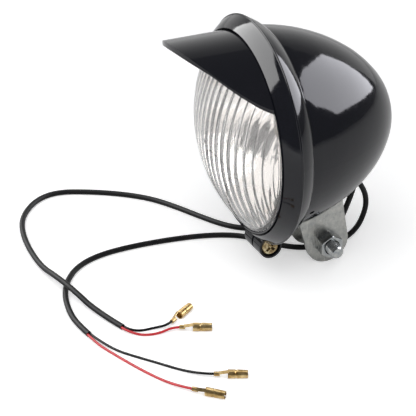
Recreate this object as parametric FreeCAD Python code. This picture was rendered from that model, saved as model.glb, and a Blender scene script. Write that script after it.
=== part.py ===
import FreeCAD, Part
import math
import os
from FreeCAD import Vector

# Trim ring: a split V-section band with a widest edge, a front face and a rear band
ring_edge_r = 65.0
ring_front_inset = 6.6
ring_front_depth = 8.0
ring_rear_depth = 9.2
ring_rear_step = 1.8
ring_sheet = 1.0
ring_nose = 0.8
ring_bead = 0.2
ring_rear_roll = 0.45
ring_front_bulge = 0.45
ring_rear_bulge = 0.5
ring_split = 1.8
ring_turn = 6.0
lug_r = 7.0
lug_y = 4.5
lug_hang = 0.4
lug_near_end = 10.2
lug_far_end = 11.0
lug_web_share = 0.75

# Clamp screw and its nut
clamp_r = 2.5
clamp_head_r = 5.7
clamp_head_h = 3.4
clamp_nut_af = 8.0
clamp_nut_h = 4.0
clamp_recess = 0.3
clamp_tail = 1.5
cross_width = 1.6
cross_length = 6.8
cross_depth = 2.0

# Housing
housing_inset = 7.9
housing_sheet = 1.0
dome_length = 72.6
dome_fullness = 1.62
vent_r = 1.5
vent_back = 5.2
vent_angle = 58.0

# Visor
visor_sheet = 1.0
collar_gap = 0.3
collar_lip = 0.45
visor_reach = 45.5
visor_side_inset = 6.0
visor_lip = 3.2
visor_lip_bow = 70.0
visor_turn = 10.0

# Lens and gasket
lens_crown = 20.1
lens_glass = 3.2
lens_rim = 3.4
lens_draft = 0.2
lens_gap = 0.2
lens_rim_width = 3.9
flute_pitch = 5.2
flute_depth = 0.42
flute_r = 8.0
flute_span = 48.0
gasket_wall = 0.8
seat_gap = 0.1

# Reflector
reflector_sheet = 0.8
reflector_focus = 17.0
reflector_mouth_inset = 8.2
neck_r = 10.0
neck_length = 5.5

# Bulb and pilot bulb
bulb_glass_r = 9.0
bulb_glass_wall = 0.6
bulb_neck_r = 6.6
bulb_base_r = 7.5
bulb_front = 29.0
bulb_base_length = 22.0
bulb_base_front = 9.0
holder_flange_r = 13.5
holder_flange = 1.6
holder_wall = 1.8
holder_gap = 0.1
pilot_r = 4.2
pilot_length = 13.0
pilot_drop = 27.0
pilot_holder_wall = 1.0
pilot_holder_length = 16.0
pilot_flange_r = 7.4
pilot_seat = 5.0

# Bracket
bracket_sheet = 2.5
bracket_bend = 2.0
ear_gap = 19.0
ear_r = 13.2
bolt_y = 43.4
bolt_below_housing = 20.1
base_seat_y = 38.0
base_front_y = 23.5
base_rear_y = 51.0
base_screw_pitch = 15.0

# Mounting bolt M8 and nut
bolt_r = 4.0
bolt_af = 13.0
bolt_head_h = 5.3
nut_h = 6.5
bolt_tail = 7.2
hole_play = 0.25

# Bracket screws M5 and nuts
base_screw_r = 2.5
base_head_r = 4.5
base_head_h = 2.8
base_nut_af = 8.0
base_nut_h = 4.0
base_screw_tail = 1.5
nut_seat_gap = 0.45

# Grommet and cables
grommet_y = 60.0
grommet_r = 5.6
grommet_flange_r = 7.4
grommet_out = 1.9
grommet_in = 2.4
cable_r = 1.65
cable_pitch = 4.8
wire_r = 0.7

# Bullet terminals
crimp_length = 3.2
crimp_wall = 0.55
terminal_neck = 4.2
terminal_neck_width = 1.9
sleeve_length = 10.6
sleeve_r = 2.4
sleeve_bore = 1.85
sleeve_bead = 0.25
sleeve_slit = 0.5

# Cable routes on from the grommet, in the row frame, to the cut end of the sheath
route_a = [(2.2, 18.6, 20.5), (-1.5, 16.9, 8.5), (-9.5, 19.0, -2.5), (-19.5, 13.5, -9.5),
           (-26.0, -0.5, -11.5), (-31.0, -16.5, -11.5), (-37.0, -31.5, -11.5), (-46.0, -41.5, -11.5),
           (-60.0, -50.5, -11.5), (-77.0, -60.5, -11.5), (-91.0, -70.5, -11.5), (-102.5, -84.0, -11.5),
           (-113.0, -101.5, -11.5), (-121.5, -121.5, -11.5), (-117.5, -137.0, -11.5),
           (-103.0, -150.0, -11.5), (-87.0, -155.8, -11.5), (-66.0, -158.0, -11.5), (-43.0, -157.2, -11.0),
           (-24.0, -154.2, -6.8), (-7.0, -149.4, -6.8), (11.0, -143.0, -11.0), (31.1, -134.0, -11.5)]
route_b = [(-2.4, 29.0, 23.0), (-2.4, 32.0, 14.5), (-2.4, 31.6, 5.8), (-2.4, 27.0, -5.0),
           (-2.4, 17.4, -11.5), (-2.8, 5.0, -11.5), (-3.6, -8.0, -11.5), (-12.5, -20.5, -11.5),
           (-28.5, -33.5, -11.5), (-35.5, -46.0, -11.5), (-40.2, -61.5, -11.5), (-43.2, -83.0, -11.5),
           (-44.2, -105.5, -11.5), (-42.2, -124.0, -11.5), (-35.2, -138.5, -11.5), (-23.0, -148.5, -11.5),
           (-9.5, -154.0, -11.5), (6.2, -156.5, -11.5), (19.0, -156.0, -11.5), (30.4, -153.3, -11.5)]
cable_hidden = 9.0
cable_lead = 8.8

# Wire routes on from the cut sheath, to the inside of the crimp
wire_routes = {
    "wire_a_black": [(37.0, -126.0, -12.5), (37.4, -117.5, -12.3), (39.8, -111.0, -10.8),
                     (36.2, -105.6, -10.8)],
    "wire_a_red": [(41.4, -126.5, -12.5), (43.4, -117.0, -12.3), (42.6, -109.0, -10.8),
                   (44.9, -103.3, -10.8)],
    "wire_b_black": [(48.5, -144.5, -12.5), (57.5, -137.0, -12.5), (68.0, -127.5, -12.5),
                     (79.0, -118.0, -12.5), (88.4, -109.1, -10.8), (91.3, -102.2, -10.8)],
    "wire_b_red": [(42.0, -150.8, -12.3), (56.0, -144.5, -12.5), (71.0, -137.5, -12.5),
                   (84.5, -129.8, -12.5), (95.2, -122.9, -10.8), (99.4, -117.9, -10.8)],
}
wire_pitch = 1.6
wire_lead = 4.0
crimp_grip = 2.5

housing_r = ring_edge_r - housing_inset
bolt_drop = housing_r + bolt_below_housing
to_row = Vector(0, -bolt_y, bolt_drop)
lamp_axis = Vector(0, 1, 0)
cross_axis = Vector(1, 0, 0)


def at(r, y):
    return Vector(r, y, 0)


def line(a, b):
    return Part.LineSegment(a, b).toShape()


def arc(a, m, b):
    return Part.Arc(a, m, b).toShape()


def polygon_face(points):
    return Part.Face(Part.makePolygon(points + [points[0]]))


def spun(edges):
    return Part.Face(Part.Wire(edges)).revolve(Vector(0, 0, 0), lamp_axis, 360)


def spun_points(points):
    return polygon_face([at(r, y) for r, y in points]).revolve(Vector(0, 0, 0), lamp_axis, 360)


def turned(points, origin, direction):
    solid = polygon_face([Vector(r, 0, h) for r, h in points])
    solid = solid.revolve(Vector(0, 0, 0), Vector(0, 0, 1), 360)
    return placed(solid, origin, direction)


def placed(shape, origin, direction):
    shape.Placement = FreeCAD.Placement(origin, FreeCAD.Rotation(Vector(0, 0, 1), direction))
    return shape


def rod(r, start, end):
    return Part.makeCylinder(r, (end - start).Length, start, end - start)


def hexagon(af, h):
    r = af / 2 / math.cos(math.pi / 6)
    corners = [Vector(r * math.cos(math.pi / 3 * i), r * math.sin(math.pi / 3 * i), 0) for i in range(6)]
    return polygon_face(corners).extrude(Vector(0, 0, h))


def crowned_hexagon(af, h, both):
    # A hexagon whose corners are turned down to a cone at one end or at both
    r = af / 2 / math.cos(math.pi / 6)
    drop = (r - af / 2) * math.tan(math.radians(30))
    cone = [(0, 0), (r, 0), (r, h - drop), (af / 2, h), (0, h)]
    if both:
        cone[1:2] = [(af / 2, 0), (r, drop)]
    return hexagon(af, h).common(turned(cone, Vector(0, 0, 0), Vector(0, 0, 1)))


# Trim ring section: outer points, the sheet's normals and its straight inner lines
front_rim = at(ring_edge_r - ring_front_inset, -ring_front_depth)
rear_rim = at(housing_r + ring_rear_step, ring_rear_depth)
edge = at(ring_edge_r, 0)


def inward(a, b):
    along = b.sub(a).normalize()
    return Vector(-along.y, along.x, 0)


def outer_arc(a, b, bulge):
    return arc(a, a.add(b).multiply(0.5).sub(inward(a, b).multiply(bulge)), b)


front_in = inward(front_rim, edge)
rear_in = inward(edge, rear_rim)
front_foot = front_rim.add(Vector(front_in).multiply(ring_sheet))
rear_foot = rear_rim.add(Vector(rear_in).multiply(ring_sheet))
front_rate = (edge.x - front_rim.x) / (edge.y - front_rim.y)
rear_rate = (rear_rim.x - edge.x) / (rear_rim.y - edge.y)
apex_y = (rear_foot.x - front_foot.x + front_rate * front_foot.y - rear_rate * rear_foot.y)
apex_y = apex_y / (front_rate - rear_rate)
inner_apex = at(front_foot.x + front_rate * (apex_y - front_foot.y), apex_y)
nose_front = edge.sub(edge.sub(front_rim).normalize().multiply(ring_nose))
nose_rear = edge.add(rear_rim.sub(edge).normalize().multiply(ring_nose))
nose_mid = nose_front.add(nose_rear).multiply(0.5)
nose_top = edge.add(edge.sub(nose_mid).normalize().multiply(ring_bead))
rear_top = rear_rim.add(rear_foot).multiply(0.5)
rear_top = rear_top.add(rear_rim.sub(edge).normalize().multiply(ring_rear_roll))
ring_section = [outer_arc(front_rim, nose_front, ring_front_bulge), arc(nose_front, nose_top, nose_rear),
                outer_arc(nose_rear, rear_rim, ring_rear_bulge), arc(rear_rim, rear_top, rear_foot),
                line(rear_foot, inner_apex), line(inner_apex, front_foot), line(front_foot, front_rim)]
ring_band = spun(ring_section)
ring_inside = spun_points([(0, front_foot.y - ring_edge_r), (front_foot.x, front_foot.y - ring_edge_r),
                           (front_foot.x, front_foot.y), (inner_apex.x, inner_apex.y),
                           (rear_foot.x, rear_foot.y), (rear_foot.x, ring_edge_r), (0, ring_edge_r)])

# The flanges that the band draws together, from the front: visor, gasket and lens, reflector, housing
stack_length = visor_sheet + 2 * gasket_wall + lens_rim + reflector_sheet + housing_sheet
stack_front = rear_foot.x - front_foot.x + front_rate * front_foot.y
stack_front = stack_front + rear_rate * (stack_length - rear_foot.y)
stack_front = stack_front / (front_rate - rear_rate)
visor_back = stack_front + visor_sheet
lens_front = visor_back + gasket_wall
lens_back = lens_front + lens_rim
reflector_front = lens_back + gasket_wall
housing_front = reflector_front + reflector_sheet
stack_back = housing_front + housing_sheet
flange_r = front_foot.x + front_rate * (stack_front - front_foot.y) - seat_gap

# Lugs: two tubes under the split, each on a web that grows out of the band
lug_drop = edge.x + rear_rate * lug_y + lug_r + lug_hang
lug_web = lug_r * lug_web_share


def lug(start, end):
    tube = rod(lug_r, Vector(start, lug_y, -lug_drop), Vector(end, lug_y, -lug_drop))
    web_height = lug_drop - edge.x + ring_edge_r * 0.25
    web = Part.makeBox(abs(end - start), 2 * lug_web, web_height,
                       Vector(min(start, end), lug_y - lug_web, -lug_drop))
    return tube.fuse(web).cut(ring_inside)


near_bore_end = Vector(lug_near_end, lug_y, -lug_drop)
far_bore_end = Vector(-lug_far_end, lug_y, -lug_drop)
head_depth = clamp_head_h + clamp_recess
head_seat = near_bore_end.sub(Vector(head_depth, 0, 0))
trim_ring = ring_band.fuse([lug(ring_split / 2, lug_near_end), lug(-ring_split / 2, -lug_far_end)])
trim_ring = trim_ring.cut(Part.makeBox(ring_split, 4 * ring_edge_r, 2 * ring_edge_r,
                                       Vector(-ring_split / 2, -2 * ring_edge_r, -2 * ring_edge_r)))
trim_ring = trim_ring.cut(rod(clamp_r + hole_play, far_bore_end, near_bore_end))
trim_ring = trim_ring.cut(rod(clamp_head_r + hole_play, head_seat, near_bore_end))
nut_pocket = placed(hexagon(clamp_nut_af + hole_play, clamp_nut_h), far_bore_end, cross_axis)
trim_ring = trim_ring.cut(nut_pocket).removeSplitter()

# Clamp screw with a crossed recess, and the nut in the far lug
head_crown = clamp_head_h * 0.35
clamp_length = lug_near_end + lug_far_end - head_depth + clamp_tail
screw_head = [(0, 0), (clamp_head_r, 0), (clamp_head_r, clamp_head_h - head_crown),
              (clamp_head_r * 0.8, clamp_head_h - head_crown * 0.25), (clamp_head_r * 0.5, clamp_head_h),
              (0, clamp_head_h)]
clamp_screw = turned(screw_head, head_seat, cross_axis)
clamp_screw = clamp_screw.fuse(rod(clamp_r, head_seat.sub(Vector(clamp_length, 0, 0)), head_seat))
for turn in (45, 135):
    slot = Part.makeBox(cross_depth, cross_length, cross_width,
                        Vector(-cross_depth, -cross_length / 2, -cross_width / 2))
    slot.rotate(Vector(0, 0, 0), cross_axis, turn)
    slot.translate(head_seat.add(Vector(clamp_head_h, 0, 0)))
    clamp_screw = clamp_screw.cut(slot)
clamp_nut = placed(crowned_hexagon(clamp_nut_af, clamp_nut_h, False), far_bore_end, cross_axis)
clamp_nut = clamp_nut.cut(rod(clamp_r, far_bore_end, near_bore_end))
for piece in (trim_ring, clamp_screw, clamp_nut):
    piece.rotate(Vector(0, 0, 0), lamp_axis, -ring_turn)


# Housing: a turned-out flange, a short straight wall and the dome
def dome_points(r, length):
    steps = [math.radians(a) for a in range(0, 91, 9)]
    power = 2 / dome_fullness
    return [at(r * math.cos(u), ring_rear_depth + length * math.sin(u) ** power) for u in steps]


def dome_curve(r, length):
    curve = Part.BSplineCurve()
    curve.interpolate(Points=dome_points(r, length), InitialTangent=Vector(0, 1, 0),
                      FinalTangent=Vector(-1, 0, 0))
    return curve.toShape()


def dome_r(y, inset=0.0):
    share = (y - ring_rear_depth) / (dome_length - inset)
    return (housing_r - inset) * math.sqrt(max(0.0, 1 - max(0.0, share) ** dome_fullness))


def dome_slope(y):
    step = 0.01
    return math.atan((dome_r(y - step) - dome_r(y + step)) / (2 * step))


wall_r = housing_r - housing_sheet
dome_end = ring_rear_depth + dome_length
housing = spun([line(at(wall_r, housing_front), at(flange_r, housing_front)),
                line(at(flange_r, housing_front), at(flange_r, stack_back)),
                line(at(flange_r, stack_back), at(housing_r, stack_back)),
                line(at(housing_r, stack_back), at(housing_r, ring_rear_depth)),
                dome_curve(housing_r, dome_length),
                line(at(0, dome_end), at(0, dome_end - housing_sheet)),
                dome_curve(wall_r, dome_length - housing_sheet),
                line(at(wall_r, ring_rear_depth), at(wall_r, housing_front))])
vent_turn = math.radians(vent_angle)
vent_out = Vector(math.sin(vent_turn), 0, -math.cos(vent_turn))
vent_mid = Vector(vent_out).multiply(housing_r).add(Vector(0, ring_rear_depth + vent_back, 0))
vent_reach = Vector(vent_out).multiply(4 * housing_sheet)
housing = housing.cut(rod(vent_r, vent_mid.sub(vent_reach), vent_mid.add(vent_reach)))

# Bracket: a bent channel, trimmed to the outline of its ears, whose base lies along the dome
slope = dome_slope(base_seat_y)
base_point = Vector(0, base_seat_y, -dome_r(base_seat_y))
base_along = Vector(0, math.cos(slope), math.sin(slope))
base_down = Vector(0, math.sin(slope), -math.cos(slope))
half_width = ear_gap / 2 + bracket_sheet
bend_out = bracket_bend + bracket_sheet
base_reach = bolt_drop
channel_start = base_point.sub(Vector(base_along).multiply(base_reach))


def channel_point(x, depth):
    return channel_start.add(Vector(x, 0, 0)).add(Vector(base_down).multiply(depth))


def bend(side, half, corner, radius):
    # The arc from the base to one ear, seen along the channel
    share = radius * (1 - math.sqrt(0.5))
    a = channel_point(side * (half - radius), corner)
    m = channel_point(side * (half - share), corner + share)
    b = channel_point(side * half, corner + radius)
    return arc(a, m, b)


inner_half = ear_gap / 2
inner_bend = bracket_sheet + bracket_bend
channel_edges = [line(channel_point(-half_width + bend_out, 0), channel_point(half_width - bend_out, 0)),
                 bend(1, half_width, 0, bend_out),
                 line(channel_point(half_width, bend_out), channel_point(half_width, base_reach)),
                 line(channel_point(half_width, base_reach), channel_point(inner_half, base_reach)),
                 line(channel_point(inner_half, base_reach), channel_point(inner_half, inner_bend)),
                 bend(1, inner_half, bracket_sheet, bracket_bend),
                 line(channel_point(inner_half - bracket_bend, bracket_sheet),
                      channel_point(bracket_bend - inner_half, bracket_sheet)),
                 bend(-1, inner_half, bracket_sheet, bracket_bend),
                 line(channel_point(-inner_half, inner_bend), channel_point(-inner_half, base_reach)),
                 line(channel_point(-inner_half, base_reach), channel_point(-half_width, base_reach)),
                 line(channel_point(-half_width, base_reach), channel_point(-half_width, bend_out)),
                 bend(-1, half_width, 0, bend_out)]
channel_face = Part.Face(Part.Wire(Part.__sortEdges__(channel_edges)))
channel = channel_face.extrude(Vector(base_along).multiply(2 * base_reach))


def base_line(y):
    return base_point.add(Vector(base_along).multiply((y - base_point.y) / base_along.y))


def tangent_touch(outside, side):
    # The point where a line from outside touches the round end of an ear
    dy = outside.y - bolt_y
    dz = outside.z + bolt_drop
    turn = math.atan2(dz, dy) + side * math.acos(ear_r / math.hypot(dy, dz))
    return Vector(0, bolt_y + ear_r * math.cos(turn), -bolt_drop + ear_r * math.sin(turn))


ear_front = base_line(base_front_y)
ear_rear = base_line(base_rear_y)
touch_front = tangent_touch(ear_front, 1)
touch_rear = tangent_touch(ear_rear, -1)
spare = 1.2
top_front = touch_front.add(ear_front.sub(touch_front).multiply(spare))
top_rear = touch_rear.add(ear_rear.sub(touch_rear).multiply(spare))
ear_foot = Vector(0, bolt_y, -bolt_drop - ear_r)
ear_outline = [arc(touch_front, ear_foot, touch_rear), line(touch_rear, top_rear),
               line(top_rear, top_front), line(top_front, touch_front)]
ear_plate = Part.Face(Part.Wire(ear_outline)).extrude(Vector(2 * half_width, 0, 0))
ear_plate.translate(Vector(-half_width, 0, 0))
bracket = channel.common(ear_plate)
bolt_near = Vector(half_width, bolt_y, -bolt_drop)
bolt_far = Vector(-half_width, bolt_y, -bolt_drop)
bracket = bracket.cut(rod(bolt_r + hole_play, bolt_far, bolt_near))

# Screws through the base and the housing, with nuts inside the dome
screw_solids = []
nut_solids = []
for side in (-1, 1):
    foot = base_point.add(Vector(base_along).multiply(side * base_screw_pitch / 2))
    depth = 0.0
    inside = foot
    while math.hypot(inside.x, inside.z) > dome_r(inside.y, housing_sheet):
        depth = depth + 0.05
        inside = foot.sub(Vector(base_down).multiply(depth))
    nut_foot = foot.sub(Vector(base_down).multiply(depth + nut_seat_gap))
    head_foot = foot.add(Vector(base_down).multiply(bracket_sheet))
    top = nut_foot.sub(Vector(base_down).multiply(base_nut_h + base_screw_tail))
    head = [(0, 0), (base_head_r, 0), (base_head_r * 0.85, base_head_h * 0.7),
            (base_head_r * 0.45, base_head_h), (0, base_head_h)]
    screw_solids.append(turned(head, head_foot, base_down).fuse(rod(base_screw_r, top, head_foot)))
    nut = placed(crowned_hexagon(base_nut_af, base_nut_h, False), nut_foot, Vector(base_down).multiply(-1))
    nut_solids.append(nut.cut(rod(base_screw_r, top, head_foot)))
    hole = rod(base_screw_r + hole_play, top, head_foot)
    bracket = bracket.cut(hole)
    housing = housing.cut(hole)

# Bolt across the ears, and its nut on the near side
bolt_length = 2 * half_width + nut_h + bolt_tail
bolt_end = [(0, 0), (bolt_r, 0), (bolt_r, bolt_length - bolt_r * 0.25), (bolt_r * 0.75, bolt_length),
            (0, bolt_length)]
mount_bolt = turned(bolt_end, bolt_far, cross_axis)
bolt_head = placed(crowned_hexagon(bolt_af, bolt_head_h, False), bolt_far, Vector(-1, 0, 0))
mount_bolt = mount_bolt.fuse(bolt_head)
mount_nut = placed(crowned_hexagon(bolt_af, nut_h, True), bolt_near, cross_axis)
mount_nut = mount_nut.cut(rod(bolt_r, bolt_far, bolt_near.add(Vector(2 * nut_h, 0, 0))))

# Visor: a flanged collar whose upper part runs on as a peak, oval from above, with a turned-down lip
visor_r = front_foot.x - collar_gap
visor_in = visor_r - visor_sheet
visor_half_width = visor_r - visor_side_inset
collar_front = -ring_front_depth - collar_lip
peak_front = Vector(0, -visor_reach - visor_sheet, 0)
peak_back = Vector(0, collar_front, 0)


def oval(half_width, reach):
    # An upright prism over half an oval, as seen from above
    curve = Part.Ellipse(Vector(0, 0, 0), max(half_width, reach), min(half_width, reach))
    face = Part.Face(Part.Wire(curve.toShape()))
    if reach > half_width:
        face.rotate(Vector(0, 0, 0), Vector(0, 0, 1), 90)
    return face.extrude(Vector(0, 0, 2 * visor_r))


peak_outline = oval(visor_half_width, visor_reach)
peak_core = oval(visor_half_width - visor_sheet, visor_reach - visor_sheet)
collar = spun_points([(visor_in, collar_front), (visor_r, collar_front), (visor_r, stack_front),
                      (flange_r, stack_front), (flange_r, visor_back), (visor_in, visor_back)])
peak = rod(visor_r, peak_front, peak_back).cut(rod(visor_in, peak_front, peak_back)).common(peak_outline)
bow_low = Vector(0, 0, visor_r - visor_lip - visor_lip_bow)
lip = rod(visor_r, peak_front, peak_back)
lip = lip.cut(rod(visor_lip_bow, peak_front.add(bow_low), peak_back.add(bow_low)))
lip = lip.common(peak_outline).cut(peak_core)
visor = collar.fuse([peak, lip]).removeSplitter()
visor.rotate(Vector(0, 0, 0), lamp_axis, -visor_turn)

# Lens: a domed glass on a flanged wall, smooth outside, with upright flutes inside
lens_r = visor_r - visor_sheet - lens_gap
cap_r = lens_r - lens_draft
lens_rim_r = flange_r - gasket_wall
cap_top = collar_front - lens_crown
cap_sphere = (cap_r ** 2 + lens_crown ** 2) / (2 * lens_crown)
cap_mid = cap_top + cap_sphere
inner_sphere = cap_sphere - lens_glass
inner_r = cap_r - lens_glass
inner_base = cap_mid - math.sqrt(inner_sphere ** 2 - inner_r ** 2)


def cap_arc(sphere, r):
    half = math.asin(r / sphere) / 2
    rim = at(r, cap_mid - math.sqrt(sphere ** 2 - r ** 2))
    return arc(at(0, cap_mid - sphere), at(sphere * math.sin(half), cap_mid - sphere * math.cos(half)), rim)


lens = spun([cap_arc(cap_sphere, cap_r), line(at(cap_r, collar_front), at(lens_r, lens_front)),
             line(at(lens_r, lens_front), at(lens_rim_r, lens_front)),
             line(at(lens_rim_r, lens_front), at(lens_rim_r, lens_back)),
             line(at(lens_rim_r, lens_back), at(inner_r, lens_back)),
             line(at(inner_r, lens_back), at(inner_r, inner_base)), cap_arc(inner_sphere, inner_r),
             line(at(0, cap_mid - inner_sphere), at(0, cap_top))])
keep = spun_points([(0, cap_top), (inner_r - flute_depth, cap_top), (inner_r - flute_depth, inner_base),
                    (0, inner_base)])
flutes = []
flute_count = int(flute_span // flute_pitch)
for i in range(-flute_count, flute_count + 1):
    x = i * flute_pitch
    bow = math.sqrt((inner_sphere - flute_r + flute_depth) ** 2 - x ** 2)
    flutes.append(Part.makeTorus(bow, flute_r, Vector(x, cap_mid, 0), cross_axis).common(keep))
lens = lens.cut(flutes)

# Gasket: a rubber channel round the rim of the lens
gasket_inner = lens_rim_r - lens_rim_width
lens_gasket = spun_points([(lens_r, visor_back), (flange_r, visor_back), (flange_r, reflector_front),
                           (gasket_inner, reflector_front), (gasket_inner, lens_back),
                           (lens_rim_r, lens_back), (lens_rim_r, lens_front), (lens_r, lens_front)])

# Reflector: a parabolic bowl with a flange in front and a neck behind
mouth_r = flange_r - reflector_mouth_inset
vertex_y = reflector_front + mouth_r ** 2 / (4 * reflector_focus)


def bowl_y(r):
    return vertex_y - r ** 2 / (4 * reflector_focus)


def bowl_curve(inner, outer, shift):
    curve = Part.BSplineCurve()
    steps = [inner + (outer - inner) * i / 8 for i in range(9)]
    curve.interpolate([at(r, bowl_y(r) + shift) for r in steps])
    return curve.toShape()


neck_out = neck_r + reflector_sheet
neck_front = bowl_y(neck_r)
neck_back = vertex_y + neck_length
skin = reflector_sheet * 1.6
back_mouth = mouth_r + reflector_sheet
back_mouth_y = bowl_y(back_mouth) + skin
flange_back = reflector_front + reflector_sheet
reflector = spun([bowl_curve(neck_r, mouth_r, 0),
                  line(at(mouth_r, reflector_front), at(flange_r, reflector_front)),
                  line(at(flange_r, reflector_front), at(flange_r, flange_back)),
                  line(at(flange_r, flange_back), at(back_mouth, flange_back)),
                  line(at(back_mouth, flange_back), at(back_mouth, back_mouth_y + reflector_sheet)),
                  bowl_curve(neck_out, back_mouth, skin + reflector_sheet).reversed(),
                  line(at(neck_out, bowl_y(neck_out) + skin + reflector_sheet), at(neck_out, neck_back)),
                  line(at(neck_out, neck_back), at(neck_r, neck_back)),
                  line(at(neck_r, neck_back), at(neck_r, neck_front))])
pilot_hole_r = pilot_r + pilot_holder_wall + holder_gap
pilot_wall = bowl_y(pilot_drop)
pilot_far = bowl_y(pilot_drop - pilot_flange_r) + skin + reflector_sheet


def pilot_at(y):
    return Vector(0, y, -pilot_drop)


pilot_hole = rod(pilot_hole_r, pilot_at(pilot_wall - reflector_focus), pilot_at(pilot_far + neck_length))
reflector = reflector.cut(pilot_hole)

# Bulb: hollow glass, metal base and the holder in the reflector's neck
glass_back = vertex_y - bulb_base_front
glass_front = vertex_y - bulb_front


def bulb_curve(inset):
    length = glass_back - glass_front - inset
    start = glass_front + inset
    r = bulb_glass_r - inset
    neck = bulb_neck_r - inset
    steps = [math.radians(a) for a in range(0, 91, 15)]
    points = [at(r * math.sin(u), start + r * (1 - math.cos(u))) for u in steps]
    points = points + [at((r + neck) / 2, start + r + (length - r) * 0.55), at(neck, start + length)]
    curve = Part.BSplineCurve()
    curve.interpolate(Points=points, InitialTangent=Vector(1, 0, 0), FinalTangent=Vector(0, 1, 0))
    return curve.toShape()


bulb_bore = bulb_neck_r - bulb_glass_wall
bulb_glass = spun([bulb_curve(0), line(at(bulb_neck_r, glass_back), at(bulb_bore, glass_back)),
                   bulb_curve(bulb_glass_wall).reversed(),
                   line(at(0, glass_front + bulb_glass_wall), at(0, glass_front))])
base_back = glass_back + bulb_base_length
bulb_base = spun_points([(0, glass_back), (bulb_base_r, glass_back), (bulb_base_r, base_back - 3),
                         (bulb_base_r - 2.5, base_back - 1.2), (2.2, base_back - 1.2), (2.2, base_back),
                         (0, base_back)])
holder_r = neck_r - holder_gap
holder_back = base_back + holder_wall
bulb_holder = spun_points([(bulb_base_r + holder_gap, neck_front), (holder_r, neck_front),
                           (holder_r, neck_back), (holder_flange_r, neck_back),
                           (holder_flange_r, neck_back + holder_flange),
                           (holder_r, neck_back + holder_flange), (holder_r, holder_back), (0, holder_back),
                           (0, base_back), (bulb_base_r + holder_gap, base_back)])

# Pilot bulb and its holder, in the lower half of the reflector
pilot_back = pilot_far + pilot_seat
pilot_front = pilot_back - pilot_holder_length
dome_of_pilot = [(0, 0), (pilot_r, 0), (pilot_r, pilot_length - pilot_r),
                 (pilot_r * 0.87, pilot_length - pilot_r * 0.5),
                 (pilot_r * 0.5, pilot_length - pilot_r * 0.13), (0, pilot_length)]
pilot_socket = pilot_front + pilot_length * 0.45
pilot_glass = turned(dome_of_pilot, pilot_at(pilot_socket), Vector(0, -1, 0))
pilot_holder_r = pilot_r + pilot_holder_wall
pilot_holder = rod(pilot_holder_r, pilot_at(pilot_front), pilot_at(pilot_back))
pilot_holder = pilot_holder.fuse(rod(pilot_flange_r, pilot_at(pilot_far), pilot_at(pilot_back)))
pilot_holder = pilot_holder.cut(rod(pilot_r, pilot_at(pilot_front), pilot_at(pilot_socket)))

# Grommet in the dome, with a bore for each cable
grommet_slope = dome_slope(grommet_y)
grommet_mid = Vector(0, grommet_y, -dome_r(grommet_y))
grommet_out_dir = Vector(0, math.sin(grommet_slope), -math.cos(grommet_slope))


def grommet_at(depth, x=0.0):
    return grommet_mid.add(Vector(grommet_out_dir).multiply(depth)).add(Vector(x, 0, 0))


bore_reach = housing_sheet * 8
cable_grommet = rod(grommet_flange_r, grommet_at(-housing_sheet - grommet_in), grommet_at(grommet_out))
cable_grommet = cable_grommet.makeFillet(1.0, [e for e in cable_grommet.Edges if len(e.Vertexes) == 1])
housing = housing.cut(rod(grommet_r, grommet_at(-bore_reach), grommet_at(bore_reach)))
cable_grommet = cable_grommet.cut(housing)
for x in (-cable_pitch / 2, cable_pitch / 2):
    bore = rod(cable_r, grommet_at(-2 * bore_reach, x), grommet_at(2 * bore_reach, x))
    cable_grommet = cable_grommet.cut(bore)


# Cords: straight runs joined by tangent arcs
def cord(name, points, r):
    edges = []
    start = points[0]
    least = None
    for before, corner_point, after in zip(points, points[1:], points[2:]):
        back = before.sub(corner_point)
        ahead_run = after.sub(corner_point)
        run = 0.45 * min(back.Length, ahead_run.Length)
        back.normalize()
        ahead_run.normalize()
        half = back.getAngle(ahead_run) / 2
        radius = run * math.tan(half)
        into = back.add(ahead_run).normalize()
        a = corner_point.add(Vector(back).multiply(run))
        b = corner_point.add(Vector(ahead_run).multiply(run))
        m = corner_point.add(Vector(into).multiply(run / math.cos(half) - radius))
        edges.append(line(start, a))
        edges.append(arc(a, m, b))
        start = b
        least = radius if least is None else min(least, radius)
    edges.append(line(start, points[-1]))
    path = Part.Wire(edges)
    ring = Part.Wire(Part.makeCircle(r, points[0], points[1].sub(points[0])))
    tube = path.makePipeShell([ring], True, False)
    share = tube.Volume / (math.pi * r * r * path.Length)
    print(f"{name}: length {path.Length:.1f}, least radius {least:.1f}, volume share {share:.4f}")
    return tube


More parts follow.
